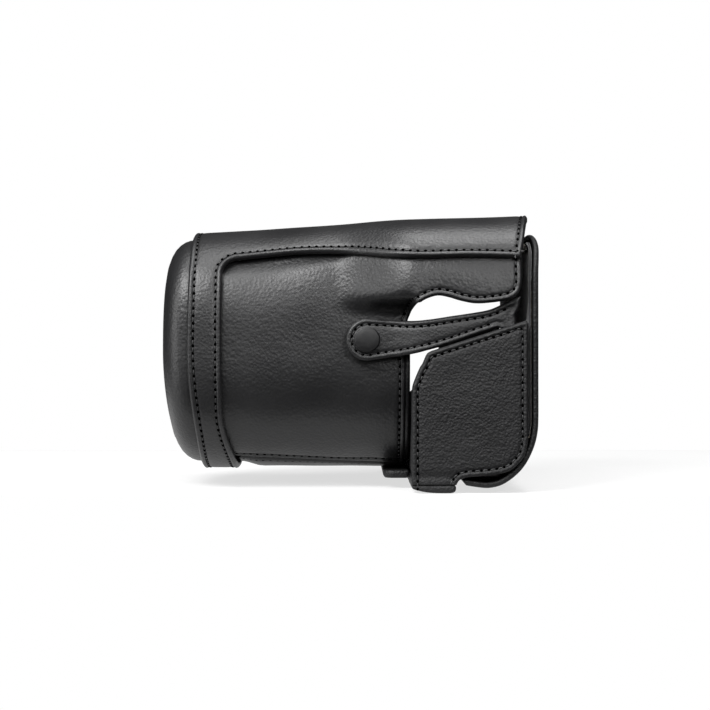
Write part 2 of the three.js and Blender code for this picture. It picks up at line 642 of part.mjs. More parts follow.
// ---------------------------------------------------------------- tripod screw
function makeScrew() {
  const x = joinX + screwSetback;
  const headLow = 1.4;
  const headTop = 4.2;
  const profile = [[0, headLow], [screwHeadRadius - 0.8, headLow], [screwHeadRadius, headLow + 0.8],
    [screwHeadRadius, headTop], [screwRadius, headTop], [screwRadius, seatZ + 4.6],
    [screwRadius - 0.8, seatZ + 5.4], [0, seatZ + 5.4]];
  const slot = block(x - 0.9, x + 0.9, -screwHeadRadius - 1, screwHeadRadius + 1, 0, headLow + 1.1);
  add('tripod_screw', turned(profile, x, 0, 32).subtract(slot), ...steel);
  const eyelet = [[screwRadius + 0.4, footHeight - 0.7], [screwRadius + 4.2, footHeight - 0.7],
    [screwRadius + 4.2, footHeight], [screwRadius + 1.3, footHeight], [screwRadius + 1.3, boardZ + board],
    [screwRadius + 0.4, boardZ + board], [screwRadius + 0.4, footHeight - 0.7]];
  add('screw_eyelet', turned(eyelet, x, 0, 32), ...steel);
  const clip = [[screwRadius + gap, seatZ + gap], [clipRadius, seatZ + gap],
    [clipRadius, seatZ + 1], [screwRadius + gap, seatZ + 1], [screwRadius + gap, seatZ + gap]];
  add('screw_clip', turned(clip, x, 0, 32), ...steel);
}

makeCover();
makeHalfCase();
makeFlap();
makeStrap();
makeScrew();

// Origin: centre of the footprint, at the level the foot stands on.
const box = new THREE.Box3().setFromObject(group);
group.position.set(-(box.min.x + box.max.x) / 2, -(box.min.y + box.max.y) / 2, -box.min.z);

export default group;
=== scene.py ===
# %% [markdown]
# # A leather ever ready case
# The case is a half case that holds a camera body, a cover with a lens barrel, a flap over the
# back and a snap strap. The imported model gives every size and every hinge; this lesson cuts and
# sews the leather around it. All lengths below are millimetres until the last step, which turns
# a point of the maker's drawing into metres in the model's frame.

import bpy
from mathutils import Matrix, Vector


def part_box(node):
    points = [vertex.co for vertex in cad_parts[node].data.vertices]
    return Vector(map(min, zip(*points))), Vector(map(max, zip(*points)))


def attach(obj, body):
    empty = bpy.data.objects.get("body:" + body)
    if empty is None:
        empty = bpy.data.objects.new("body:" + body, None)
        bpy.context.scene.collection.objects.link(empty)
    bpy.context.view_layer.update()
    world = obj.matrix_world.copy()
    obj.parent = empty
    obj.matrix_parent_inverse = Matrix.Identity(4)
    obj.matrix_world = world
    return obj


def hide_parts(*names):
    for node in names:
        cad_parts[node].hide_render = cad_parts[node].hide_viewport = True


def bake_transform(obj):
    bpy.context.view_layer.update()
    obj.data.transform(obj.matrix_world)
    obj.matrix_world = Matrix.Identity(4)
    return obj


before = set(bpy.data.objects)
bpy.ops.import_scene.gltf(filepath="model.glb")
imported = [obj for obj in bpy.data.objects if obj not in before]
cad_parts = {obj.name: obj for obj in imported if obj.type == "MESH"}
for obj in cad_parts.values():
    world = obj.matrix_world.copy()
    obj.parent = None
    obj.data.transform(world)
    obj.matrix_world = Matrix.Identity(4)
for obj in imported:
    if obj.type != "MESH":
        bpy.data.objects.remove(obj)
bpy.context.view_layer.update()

import math
from functools import lru_cache
import bmesh
import bpy
import numpy as np
from mathutils import Vector, noise
from mathutils.geometry import delaunay_2d_cdt

# %% [markdown]
# The drawing has its X zero 19.3 mm in front of the plane where the barrel meets the half case,
# its Y zero on the lens axis and its Z zero under the foot. The foot and the tripod screw show
# where those are in the frame.

# %% Places in the drawing
JOIN = 19.3
BARREL_LENGTH = 77.3
BAY_DEPTH = 39.8
foot_low, foot_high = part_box("front_foot")
screw_low, screw_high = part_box("tripod_screw")
SHIFT = Vector((foot_low[0] - JOIN / 1000, (screw_low[1] + screw_high[1]) / 2, 0))
LENS_Z = 48.8
FRONT = JOIN - BARREL_LENGTH
REAR = JOIN + BAY_DEPTH
LEFT = -57.0
GRIP_LIFT = 7
RIGHT = (foot_high[1] - SHIFT.y) * 1000


def at(x, y, z):
    """A point of the drawing, in metres in the frame."""
    return Vector((x, y, z)) / 1000 + SHIFT


def smooth(t):
    t = min(max(t, 0.0), 1.0)
    return t * t * (3 - 2 * t)


print("drawing shift", tuple(round(v, 5) for v in SHIFT), "right side at", round(RIGHT, 1))

# %% [markdown]
# ## Camera and light
# The view is square on to the left side, level with the lens, from 0.7 m. Black leather shows
# its form only by what it reflects, so large soft boxes do the work: the key high on the lens side,
# two from above, a small one towards the back corner and a strip in front of the cap. The floor is
# plain and pale, and gives off a little light of its own so that it stays pale without hard lamps.

# %% Camera
WIDE_VIEW = 262.7
DISTANCE = 700.0
camera_data = bpy.data.cameras.new("camera")
camera_data.sensor_width = 36
camera_data.lens = 36 * DISTANCE / WIDE_VIEW
camera = bpy.data.objects.new("camera", camera_data)
camera.location = at(0, -DISTANCE, 47)
camera.rotation_euler = (math.radians(90), 0, 0)
bpy.context.scene.collection.objects.link(camera)
bpy.context.scene.camera = camera
bpy.context.scene.view_settings.view_transform = "Standard"
print("camera lens", round(camera_data.lens, 2), "mm at", DISTANCE, "mm")


# %% Soft boxes
def softbox(name, place, target, width, height, watts):
    data = bpy.data.lights.new(name, "AREA")
    data.shape = "RECTANGLE"
    data.size = width / 1000
    data.size_y = height / 1000
    data.energy = watts
    box = bpy.data.objects.new(name, data)
    box.location = at(*place)
    aim = at(*target) - box.location
    box.rotation_euler = aim.to_track_quat("-Z", "Y").to_euler()
    bpy.context.scene.collection.objects.link(box)
    return box


softbox("key", (-300, -430, 470), (-10, 0, 60), 380, 260, 8.5)
softbox("top", (0, -70, 560), (-10, -10, 80), 380, 240, 2.4)
softbox("back_top", (150, -190, 500), (45, -30, 85), 170, 150, 1.8)
softbox("back_corner", (190, -560, 250), (50, -40, 70), 130, 150, 1.7)
softbox("front_strip", (-520, -210, 120), (-60, 0, 50), 100, 420, 1.6)
softbox("fill", (0, -760, 190), (0, 0, 45), 420, 160, 0.3)

# %% Floor and surroundings
world = bpy.data.worlds.new("studio")
bpy.context.scene.world = world
world.use_nodes = True
world_tree = world.node_tree
world_tree.nodes["Background"].inputs["Color"].default_value = (1, 1, 1, 1)
world_tree.nodes["Background"].inputs["Strength"].default_value = 0.03
seen = world_tree.nodes.new("ShaderNodeBackground")
seen.inputs["Color"].default_value = (1, 1, 1, 1)
chooser = world_tree.nodes.new("ShaderNodeMixShader")
rays = world_tree.nodes.new("ShaderNodeLightPath")
world_tree.links.new(rays.outputs["Is Camera Ray"], chooser.inputs["Fac"])
world_tree.links.new(world_tree.nodes["Background"].outputs[0], chooser.inputs[1])
world_tree.links.new(seen.outputs[0], chooser.inputs[2])
world_tree.links.new(chooser.outputs[0], world_tree.nodes["World Output"].inputs["Surface"])

floor_mesh = bpy.data.meshes.new("floor")
floor_corners = [(-260, -62, -0.2), (260, -62, -0.2), (260, 240, -0.2), (-260, 240, -0.2)]
floor_mesh.from_pydata([at(*c) for c in floor_corners], [], [(0, 1, 2, 3)])
floor = bpy.data.objects.new("floor", floor_mesh)
bpy.context.scene.collection.objects.link(floor)
print("floor and surroundings set")

# %% [markdown]
# ## Materials
# A few finishes cover the case. Smooth leather is calf with a fine pressed grain and a thin wax
# finish; grained leather is drummed until it shows pebbles and short wrinkles; the lining is a
# napped microfibre; the snap cap is brass under black enamel; the hidden metal is nickel plated
# steel. Every pattern reads Object coordinates, which are metres here, so a scale is one over the
# size of the pattern in metres.


# %% Node helpers
def linear(hex_colour):
    """An sRGB hex colour as linear red, green, blue and alpha."""
    values = [int(hex_colour[i:i + 2], 16) / 255 for i in (1, 3, 5)]
    return tuple(v / 12.92 if v <= 0.04045 else ((v + 0.055) / 1.055) ** 2.4 for v in values) + (1.0,)


def node(tree, kind, settings=None, **inputs):
    """Adds a node; an input's value is a constant or another node's output socket."""
    made = tree.nodes.new(kind)
    for name, value in (settings or {}).items():
        setattr(made, name, value)
    for name, value in inputs.items():
        key = int(name[1:]) if name[0] == "i" and name[1:].isdigit() else name.replace("_", " ")
        socket = made.inputs[key]
        if isinstance(value, bpy.types.NodeSocket):
            tree.links.new(value, socket)
        else:
            socket.default_value = value
    return made


def new_material(name, colour, roughness, **fixed):
    material = bpy.data.materials.new(name)
    material.use_nodes = True
    tree = material.node_tree
    shader = tree.nodes["Principled BSDF"]
    shader.inputs["Base Color"].default_value = linear(colour)
    shader.inputs["Roughness"].default_value = roughness
    for key, value in fixed.items():
        shader.inputs[key.replace("_", " ")].default_value = value
    coords = node(tree, "ShaderNodeTexCoord").outputs["Object"]
    return material, tree, shader, coords


# %% Leathers
def leather(name, colour, worn, rough, pebble, depth, wrinkle, gloss):
    """Pressed or drummed leather. pebble and wrinkle are sizes in millimetres."""
    material, tree, shader, coords = new_material(
        name, colour, rough[0], Specular_IOR_Level=gloss, IOR=1.48)
    cells = node(tree, "ShaderNodeTexVoronoi", {"feature": "SMOOTH_F1"}, Vector=coords,
                 Scale=1000 / pebble, Smoothness=0.6)
    folds = node(tree, "ShaderNodeTexNoise", None, Vector=coords, Scale=1000 / wrinkle, Detail=5.0,
                 Roughness=0.62)
    pores = node(tree, "ShaderNodeTexNoise", None, Vector=coords, Scale=3200.0, Detail=2.0)
    height = node(tree, "ShaderNodeMath", {"operation": "MULTIPLY_ADD"},
                  i0=folds.outputs["Fac"], i1=1.3, i2=cells.outputs["Distance"])
    height = node(tree, "ShaderNodeMath", {"operation": "MULTIPLY_ADD"},
                  i0=pores.outputs["Fac"], i1=0.25, i2=height.outputs[0])
    bump = node(tree, "ShaderNodeBump", None, Height=height.outputs[0], Strength=1.0,
                Distance=depth / 1000)
    tree.links.new(bump.outputs[0], shader.inputs["Normal"])
    patches = node(tree, "ShaderNodeTexNoise", None, Vector=coords, Scale=38.0, Detail=3.0)
    sheen = node(tree, "ShaderNodeMapRange", None, Value=patches.outputs["Fac"], i1=0.3, i2=0.7,
                 i3=rough[0], i4=rough[1])
    tree.links.new(sheen.outputs[0], shader.inputs["Roughness"])
    tone = node(tree, "ShaderNodeMix", {"data_type": "RGBA"}, Factor=patches.outputs["Fac"])
    tone.inputs[6].default_value = linear(colour)
    tone.inputs[7].default_value = linear(worn)
    tree.links.new(tone.outputs[2], shader.inputs["Base Color"])
    return material


SMOOTH = leather("smooth_wax_finished_calf", "#0d0d0e", "#121213", (0.40, 0.5), 1.0, 0.10, 2.6, 0.42)
GRAINED = leather("drummed_pebble_grain_leather", "#0b0b0c", "#111112", (0.5, 0.62), 0.8, 0.2, 1.7, 0.28)
STRAP = leather("fine_grain_strap_leather", "#0e0e0f", "#131314", (0.44, 0.54), 0.8, 0.12, 2.0, 0.42)


# %% Lining, thread, metal and board
def nap(name, colour):
    material, tree, shader, coords = new_material(name, colour, 0.95, Sheen_Weight=0.35,
                                                  Sheen_Roughness=0.5, Specular_IOR_Level=0.15)
    hairs = node(tree, "ShaderNodeTexNoise", None, Vector=coords, Scale=1800.0, Detail=4.0)
    bump = node(tree, "ShaderNodeBump", None, Height=hairs.outputs["Fac"], Strength=0.8,
                Distance=0.0002)
    tree.links.new(bump.outputs[0], shader.inputs["Normal"])
    return material


def hard_finish(name, colour, roughness, metallic, grain):
    """A hard or waxed surface with faint wear. grain is the scale of the wear, per metre."""
    material, tree, shader, coords = new_material(name, colour, roughness, Metallic=metallic)
    wear = node(tree, "ShaderNodeTexNoise", None, Vector=coords, Scale=grain, Detail=4.0)
    spread = node(tree, "ShaderNodeMapRange", None, Value=wear.outputs["Fac"], i1=0.2, i2=0.8,
                  i3=roughness * 0.8, i4=roughness * 1.25)
    tree.links.new(spread.outputs[0], shader.inputs["Roughness"])
    bump = node(tree, "ShaderNodeBump", None, Height=wear.outputs["Fac"], Strength=0.2,
                Distance=0.00003)
    tree.links.new(bump.outputs[0], shader.inputs["Normal"])
    return material


LINING = nap("napped_microfibre_lining", "#1b1b1d")
THREAD = hard_finish("waxed_polyester_thread", "#111112", 0.5, 0.0, 2200)
# Nearly black and without shine: painted shade for the dark inside of the needle holes, which are not cut.
HOLE_SHADE = new_material("needle_hole_shadow", "#010101", 1.0, Specular_IOR_Level=0.0)[0]
ENAMEL = hard_finish("black_enamelled_brass", "#0b0b0c", 0.5, 0.0, 900)
ENAMEL.node_tree.nodes["Principled BSDF"].inputs["Specular IOR Level"].default_value = 0.3
STEEL = hard_finish("nickel_plated_steel", "#a9a8a4", 0.28, 1.0, 1400)
BOARD = nap("grey_fibre_board", "#6d665c")
print("finishes:", ", ".join(m.name for m in bpy.data.materials if m.name[0] != "."))

floor_paint, _, floor_shader, _ = new_material(
    "pale_studio_floor", "#808080", 0.9, Emission_Strength=0.68, Specular_IOR_Level=0.0)
floor_shader.inputs["Emission Color"].default_value = (1, 1, 1, 1)
floor_mesh.materials.append(floor_paint)

# %% [markdown]
# ## The cover's shape
# Seen along the lens axis the barrel is a rounded square. Towards the camera it widens to the
# body's width. Every leather of the cover is a layer of this one shape, so one function gives
# the cross-section at any X, and a second one turns a place on the leather, X and the distance
# round the section from the crown, into a point in space.

# %% Cross-section of the cover
BARREL_HALF = 46.5
WING_HALF = {-1: 59.5, 1: 79.4}
FLARE = (JOIN - 27, JOIN + 1)
TURN = np.linspace(1.5 * np.pi, -0.5 * np.pi, 961)


def blend_array(t):
    t = np.clip(t, 0, 1)
    return t * t * (3 - 2 * t)


def crown(x):
    """Height of the cover's top line."""
    slope = (x - FRONT) / (REAR - FRONT)
    return 91.2 + 5.2 * slope + 0.5 * math.sin(math.pi * min(max(slope, 0), 1))


def belly(x, inset):
    """Height of the cover's lowest line; behind the band a layer comes out level with it."""
    behind = smooth((x - (FRONT + 16.6)) / 8)
    return 5.8 + inset - (min(inset, 1.7) * behind)


@lru_cache(maxsize=None)
def section(x, inset):
    """Arc length from the crown, y and z round the whole section at x."""
    power = 3.2 + 1.8 * smooth((x - FLARE[0] + 30) / 50)
    c, s = np.cos(TURN), np.sin(TURN)
    exponent = np.where(s >= 0, power, 2.5)
    reach = (np.abs(c) ** exponent + np.abs(s) ** exponent) ** (-1 / exponent)
    top = crown(x) - inset
    low = belly(x, inset)
    z = LENS_Z + s * reach * np.where(s >= 0, top - LENS_Z, LENS_Z - low)
    wide = np.where(c < 0, WING_HALF[-1], WING_HALF[1])
    along = smooth((x - FLARE[0]) / (FLARE[1] - FLARE[0]))
    low = 61.2 - 9 * smooth((x - JOIN + 1) / 9)
    half = BARREL_HALF + (wide - BARREL_HALF) * along * blend_array((z - low) / 7) - inset
    y = c * reach * half
    step = np.hypot(np.diff(y), np.diff(z))
    length = np.concatenate([[0], np.cumsum(step)])
    middle = len(TURN) // 2
    return length - length[middle], y, z


def cover_at(inset):
    """Placer for a layer of the cover: u is X, v the arc length from the crown, left negative."""
    def place(u, v, out):
        length, y, z = section(round(u, 2), inset)
        yy = np.interp(v, length, y)
        zz = np.interp(v, length, z)
        y1, y2 = np.interp([v - 0.6, v + 0.6], length, y)
        z1, z2 = np.interp([v - 0.6, v + 0.6], length, z)
        size = math.hypot(y2 - y1, z2 - z1) or 1.0
        ny, nz = -(z2 - z1) / size, (y2 - y1) / size
        return at(u, yy + ny * out, zz + nz * out)
    return place


def round_to(x, z, side, inset):
    """Arc length of the point at height z on one side of the section at x."""
    length, y, zs = section(x, inset)
    chosen = (length < 0) if side < 0 else (length > 0)
    heights, places = zs[chosen], length[chosen]
    order = np.argsort(heights)
    return float(np.interp(z, heights[order], places[order]))


check = section(-20, 0)
print("section length at x -20:", round(float(check[0][-1] - check[0][0]), 1), "mm")

# %% [markdown]
# ## Cutting leather
# Each panel is cut from an outline in its own flat coordinates. Rows of points follow the edge
# at fixed distances, so the turned edge can swell into a bead and dip at the seam, and a plain
# grid fills the rest. A constrained triangulation joins them; the panel's placer lays every point
# on the case, once for the face and once for the flesh side.

# %% Outlines
def along_curve(points, step=1.2):
    """Points at even steps along an open polyline."""
    result = []
    for (x0, z0), (x1, z1) in zip(points, points[1:]):
        count = max(1, round(math.hypot(x1 - x0, z1 - z0) / step))
        result += [(x0 + (x1 - x0) * k / count, z0 + (z1 - z0) * k / count) for k in range(count)]
    return result + [points[-1]]


def spline(points, steps=10):
    """A Catmull-Rom curve through the points."""
    ends = [points[0]] + list(points) + [points[-1]]
    result = []
    for a, b, c, d in zip(ends, ends[1:], ends[2:], ends[3:]):
        for k in range(steps):
            t = k / steps
            result.append(tuple(
                0.5 * (2 * q + (r - p) * t + (2 * p - 5 * q + 4 * r - w) * t * t
                       + (3 * q - p - 3 * r + w) * t ** 3) for p, q, r, w in zip(a, b, c, d)))
    return result + [tuple(points[-1])]


def arc(cx, cz, radius, start, end, steps=10):
    angles = [math.radians(start + (end - start) * k / steps) for k in range(steps + 1)]
    return [(cx + radius * math.cos(a), cz + radius * math.sin(a)) for a in angles]


def nearest(points, line):
    """Distance of each point to a polyline."""
    line = np.asarray(line, float)
    a, b = line[:-1], line[1:]
    ab = b - a
    size = np.maximum((ab ** 2).sum(1), 1e-12)
    best = np.full(len(points), 1e9)
    for start in range(0, len(points), 2000):
        p = points[start:start + 2000, None, :]
        t = np.clip(((p - a) * ab).sum(2) / size, 0, 1)
        gap = np.sqrt((((a + t[..., None] * ab) - p) ** 2).sum(2))
        best[start:start + 2000] = gap.min(1)
    return best


EDGE_ROWS = (0.15, 0.4, 0.7, 1.05, 1.45, 1.8, 2.1, 2.4, 2.8, 3.4, 4.3)


def turned_edge(d, bead=0.28):
    """Height of the face at distance d from a turned and stitched edge."""
    roll = -0.75 * (1 - min(d / 0.75, 1)) ** 2.2
    swell = bead * math.exp(-((d - 0.95) / 0.55) ** 2)
    groove = -0.30 * math.exp(-((d - 2.15) / 0.42) ** 2)
    return roll + swell + groove + 0.10 * smooth((d - 2.3) / 2)


def cut_edge(d):
    return -0.35 * (1 - min(d / 0.4, 1)) ** 2


# %% Panel builder
def cut_panel(name, sides, place, thick, material, spacing=2.0, relief=None, bead=0.28):
    """sides is a list of (polyline, turned?) that close on each other, anticlockwise."""
    loop, turned_lines, plain_lines = [], [], []
    for points, turned in sides:
        fine = along_curve(points)
        (turned_lines if turned else plain_lines).append(fine)
        loop += fine[:-1]
    loop = np.asarray(loop)
    ahead = np.roll(loop, -1, 0) - np.roll(loop, 1, 0)
    normal = np.stack([-ahead[:, 1], ahead[:, 0]], 1)
    normal /= np.maximum(np.linalg.norm(normal, axis=1), 1e-9)[:, None]
    closed = np.vstack([loop, loop[:1]])
    inner = [np.zeros((0, 2))]
    for depth in EDGE_ROWS:
        row = loop + normal * depth
        inner.append(row[nearest(row, closed) > depth - 0.05])
    low, high = loop.min(0), loop.max(0)
    grid = np.array([(x, z) for x in np.arange(low[0], high[0], spacing)
                     for z in np.arange(low[1], high[1], spacing)])
    inner.append(grid[nearest(grid, closed) > EDGE_ROWS[-1] + spacing * 0.4])
    points = np.vstack([loop] + inner)
    count = len(loop)
    edges = [(k, (k + 1) % count) for k in range(count)]
    flat, _, faces, _, _, _ = delaunay_2d_cdt(
        [Vector(p) for p in points], edges, [list(range(count))], 1, 1e-4)
    flat = np.array([tuple(p) for p in flat])
    to_turned = np.full(len(flat), 99.0)
    for line in turned_lines:
        to_turned = np.minimum(to_turned, nearest(flat, line))
    to_plain = np.full(len(flat), 99.0)
    for line in plain_lines:
        to_plain = np.minimum(to_plain, nearest(flat, line))
    mesh = bpy.data.meshes.new(name)
    face_points, back_points = [], []
    for (u, v), d1, d2 in zip(flat, to_turned, to_plain):
        out = turned_edge(d1, bead) + cut_edge(d2)
        if relief:
            out += relief(u, v, min(d1, d2))
        face_points.append(place(u, v, out))
        back_points.append(place(u, v, -thick + 0.3 * (1 - min(min(d1, d2) / 0.6, 1)) ** 2))
    used = {}
    for face in faces:
        for a, b in zip(face, face[1:] + face[:1]):
            used[(a, b)] = used.get((a, b), 0) + 1
    rim = [(a, b) for (a, b) in used if (b, a) not in used]
    total = len(flat)
    quads = [(b, a, a + total, b + total) for a, b in rim]
    backs = [tuple(k + total for k in reversed(f)) for f in faces]
    mesh.from_pydata(face_points + back_points, [], [tuple(f) for f in faces] + backs + quads)
    return finish_piece(name, mesh, material)


def finish_piece(name, mesh, material):
    """Merges doubles, turns the faces outwards, shades the mesh smooth and links it."""
    shape = bmesh.new()
    shape.from_mesh(mesh)
    bmesh.ops.remove_doubles(shape, verts=shape.verts, dist=1e-6)
    bmesh.ops.recalc_face_normals(shape, faces=shape.faces)
    shape.to_mesh(mesh)
    shape.free()
    for polygon in mesh.polygons:
        polygon.use_smooth = True
    mesh.materials.append(material)
    piece = bpy.data.objects.new(name, mesh)
    bpy.context.scene.collection.objects.link(piece)
    print(name, len(mesh.polygons), "faces")
    return piece


def dress(piece, body, slot, *nodes):
    """Says which body the piece moves with and the plain solids it stands for, which it hides; slot, the
    finish, is not used.
    """
    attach(piece, body)
    if nodes:
        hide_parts(*nodes)
    return piece


def soft_waves(size, depth, seed):
    """Slow waves of soft leather that die out near the seams."""
    def relief(u, v, edge):
        wave = noise.noise(Vector((u / size, v / size, seed)))
        return depth * wave * smooth((edge - 2) / 8)
    return relief


SEAMS = {"cover": [], "half_case": [], "flap": [], "strap": []}


def seam(body, line, place, inset, lift=-0.12):
    """Remembers a stitched line that runs inside an edge; line goes anticlockwise."""
    fine = np.asarray(along_curve(line, 0.8))
    ahead = np.gradient(fine, axis=0)
    normal = np.stack([-ahead[:, 1], ahead[:, 0]], 1)
    normal /= np.maximum(np.linalg.norm(normal, axis=1), 1e-9)[:, None]
    row = fine + normal * inset
    row = row[nearest(row, fine) > inset - 0.06]
    points = [place(u, v, lift) for u, v in row]
    ups = [(place(u, v, lift + 1) - place(u, v, lift)).normalized() for u, v in row]
    SEAMS[body].append((points, ups))


# %% [markdown]
# ## Band and yoke
# One piece of leather makes the band round the front and the yoke over the top. It is cut flat
# with a rounded inner corner on each side, wrapped round the barrel and closed by a butt seam
# underneath. The bands of both edges are turned and stitched.

# %% Band and yoke outline
BAND_REAR = FRONT + 11.6
HEM = LENS_Z + 32.3
YOKE = cover_at(0)


def band_front_x(z):
    low = smooth((LENS_Z - z) / 44)
    high = smooth((z - LENS_Z) / 44)
    return FRONT - 0.2 + 3.2 * low + 0.6 * high


def band_rear_x(z):
    return BAND_REAR + 0.2 + 4.0 * smooth((30 - z) / 26) ** 1.5


def yoke_hem(side):
    """Lower edge from the band's corner to the back, as (X, height)."""
    corner = arc(BAND_REAR + 6, HEM - 6, 6, 180, 98, 8)
    run = spline([(BAND_REAR + 6.5, HEM), (-33, HEM + 0.8), (-20, HEM + 1.9), (-6, HEM + 1.8),
                  (4, HEM + 0.7), (12, HEM - 0.2), (24, HEM - 0.6), (40, HEM - 0.3), (56.6, HEM - 0.8)], 6)
    return [(x, round_to(x, z, side, 0)) for x, z in corner + run]


def rear_x(v, total):
    """The yoke's back edge bows out behind the camera."""
    share = min(abs(v) / total, 1)
    return 62.8 - 6.2 * share ** 1.6


def band_edge(side):
    """Rear edge of the band from the corner down to the bottom seam."""
    heights = [HEM - 6 - (HEM - 12) * k / 30 for k in range(31)]
    points = [(band_rear_x(z), round_to(band_rear_x(z), z, side, 0)) for z in heights[:-1]]
    seam_end = round_to(BAND_REAR + 4.2, 5.81, side, 0)
    return points + [(band_rear_x(5.8), seam_end)]


def front_edge():
    length, y, z = section(FRONT, 0)
    keep = range(0, len(length), 8)
    return [(band_front_x(z[k]), float(length[k])) for k in keep]


hem_left, hem_right = yoke_hem(-1), yoke_hem(1)
back_total = abs(hem_left[-1][1]), abs(hem_right[-1][1])
back_line = []
for k in range(41):
    v = hem_right[-1][1] + (hem_left[-1][1] - hem_right[-1][1]) * k / 40
    back_line.append((rear_x(v, back_total[1] if v > 0 else back_total[0]), v))
front_line = front_edge()
left_band = band_edge(-1)
right_band = band_edge(1)
left_band[-1] = (left_band[-1][0], front_line[0][1])
right_band[-1] = (right_band[-1][0], front_line[-1][1])
hem_left[-1] = (back_line[-1][0], hem_left[-1][1])
hem_right[-1] = (back_line[0][0], hem_right[-1][1])
# Anticlockwise in (X, arc length): along the bottom seam, up the right side, over, down the left.
yoke_sides = [
    ([front_line[0], left_band[-1]], False),
    (left_band[::-1] + hem_left[1:], True),
    (back_line[::-1], True),
    (hem_right[::-1] + right_band[1:], True),
    ([right_band[-1], front_line[-1]], False),
    (front_line[::-1], True),
]
yoke = cut_panel("yoke_band_leather", yoke_sides, YOKE, 2.0, SMOOTH, 2.2, soft_waves(26, 0.25, 3))
dress(yoke, "cover", "smooth_leather", "yoke_band")
for line, turned in yoke_sides:
    if turned:
        seam("cover", line, YOKE, 2.15)

# %% [markdown]
# ## Barrel panels, gusset and edge strips
# A panel on each side covers the barrel and runs back as a wing beside the camera. Its front edge
# goes under the band and its top edge under the yoke's hem; the edges that show are turned and
# stitched. The wing on the grip side is cut a little higher.

# %% Barrel panels
UNDER = 2.3
PANEL = cover_at(UNDER)
PANEL_REAR = JOIN - 1.6
WING_REAR = REAR - 2.2


def wing_line(lift):
    """Rear edge of a barrel panel, from the gusset up and round the wing, as (X, height)."""
    bottom = [(PANEL_REAR, 8.2 + k * (64.7 + lift - 13 - 8.2) / 8) for k in range(9)]
    curve = [(17.9, 57.6), (18.6, 60), (19.9, 62.2), (21.6, 64.3), (24.2, 66.1), (28.1, 67.3), (32, 66.7),
             (36, 65.5), (41, 64.6), (46.6, 64.9), (52, 65.8), (54.9, 67.3), (56.4, 69.6), (WING_REAR, 73)]
    return bottom + spline([(x, z + lift) for x, z in curve], 5) + [(WING_REAR, HEM + 4.5)]


def barrel_panel(name, side, lift, slot_name, cad):
    rear = [(x, round_to(x, z, side, UNDER)) for x, z in wing_line(lift)]
    top = [(x, round_to(x, HEM + 4.5, side, UNDER))
           for x in np.linspace(WING_REAR, BAND_REAR - 5.4, 24)]
    front = [(BAND_REAR - 5.4, round_to(BAND_REAR - 5.4, z, side, UNDER))
             for z in np.linspace(HEM + 4.5, 11.2, 30)]
    low = [(x, round_to(x, 11.2 - 3.0 * (x - BAND_REAR) / 66, side, UNDER))
           for x in np.linspace(BAND_REAR - 5.4, PANEL_REAR, 30)]
    sides = [(low, True), (rear, True), (top, False), (front, False)]
    if side > 0:
        sides = [(line[::-1], turned) for line, turned in sides[::-1]]
    waves = soft_waves(21, 0.55, 7 + side)
    hem_low = round_to(-15, HEM - 3.2, side, UNDER)

    def relief(u, v, edge):
        pull = math.exp(-(((u - 4) / 16) ** 2)) * 0.6
        tuck = -0.95 * smooth((hem_low - v) * side / 3.0)
        return waves(u, v, edge) * (1 + pull) + tuck

    panel = cut_panel(name, sides, PANEL, 1.8, SMOOTH, 1.8, relief)
    dress(panel, "cover", slot_name, cad)
    for line, turned in sides:
        if turned:
            seam("cover", line, PANEL, 2.15)
    return panel


barrel_panel("left_barrel_leather", -1, 0, "smooth_leather", "left_barrel_panel")
barrel_panel("right_barrel_leather", 1, GRIP_LIFT, "smooth_leather", "right_barrel_panel")

# %% Gusset and edge strips
gusset_line_left = [(x, round_to(x, 10.6 - 3.0 * (x - BAND_REAR) / 66, -1, UNDER))
                    for x in np.linspace(BAND_REAR + 4.7, JOIN - 0.4, 30)]
gusset_line_right = [(x, round_to(x, 10.6 - 3.0 * (x - BAND_REAR) / 66, 1, UNDER))
                     for x in np.linspace(BAND_REAR + 4.7, JOIN - 0.4, 30)]


def belly_place(inset):
    """Placer for the gusset: u is X and v the distance from the middle of the underside."""
    base = cover_at(inset)

    def place(u, v, out):
        length, _, _ = section(u, inset)
        start = length[0] if v < 0 else length[-1]
        return base(u, start + abs(v) * (1 if v < 0 else -1), out)
    return place


def to_belly(points, side):
    result = []
    for x, s in points:
        length, _, _ = section(x, UNDER)
        result.append((x, side * ((s - length[0]) if side < 0 else (length[-1] - s))))
    return result


right_low = to_belly(gusset_line_right, 1)
left_low = to_belly(gusset_line_left, -1)
gusset_sides = [(left_low, True), ([left_low[-1], right_low[-1]], True), (right_low[::-1], True),
                ([right_low[0], left_low[0]], False)]
gusset = cut_panel("bottom_gusset_leather", gusset_sides, belly_place(UNDER), 1.8, SMOOTH, 2.2,
                   soft_waves(18, 0.25, 5))
dress(gusset, "cover", "smooth_leather", "bottom_gusset")
for line, turned in gusset_sides:
    if turned:
        seam("cover", line, belly_place(UNDER), 2.15)

for name, side, cad in (("left_edge_fold", -1, "left_edge_strip"),
                        ("right_edge_fold", 1, "right_edge_strip")):
    heights = np.linspace(8.7, 51, 40)
    outer = [(JOIN - 0.15, round_to(JOIN - 0.15, z, side, UNDER)) for z in heights]
    inner = [(JOIN - 2.6, round_to(JOIN - 2.6, z, side, UNDER)) for z in heights]
    loop = [([inner[0], outer[0]], False), (outer, True), ([outer[-1], inner[-1]], False),
            (inner[::-1], False)]
    if side > 0:
        loop = [(line[::-1], turned) for line, turned in loop[::-1]]
    strip = cut_panel(name, loop, cover_at(UNDER + 0.5), 1.2, SMOOTH, 0.6, None, 0.05)
    dress(strip, "cover", "smooth_leather", cad)

# %% [markdown]
# ## Front cap
# The cap is moulded: a skirt inside the band, a soft shoulder and a nearly flat face that leans
# a little. Rings of the cover's section, each one further in and further forward, make it.

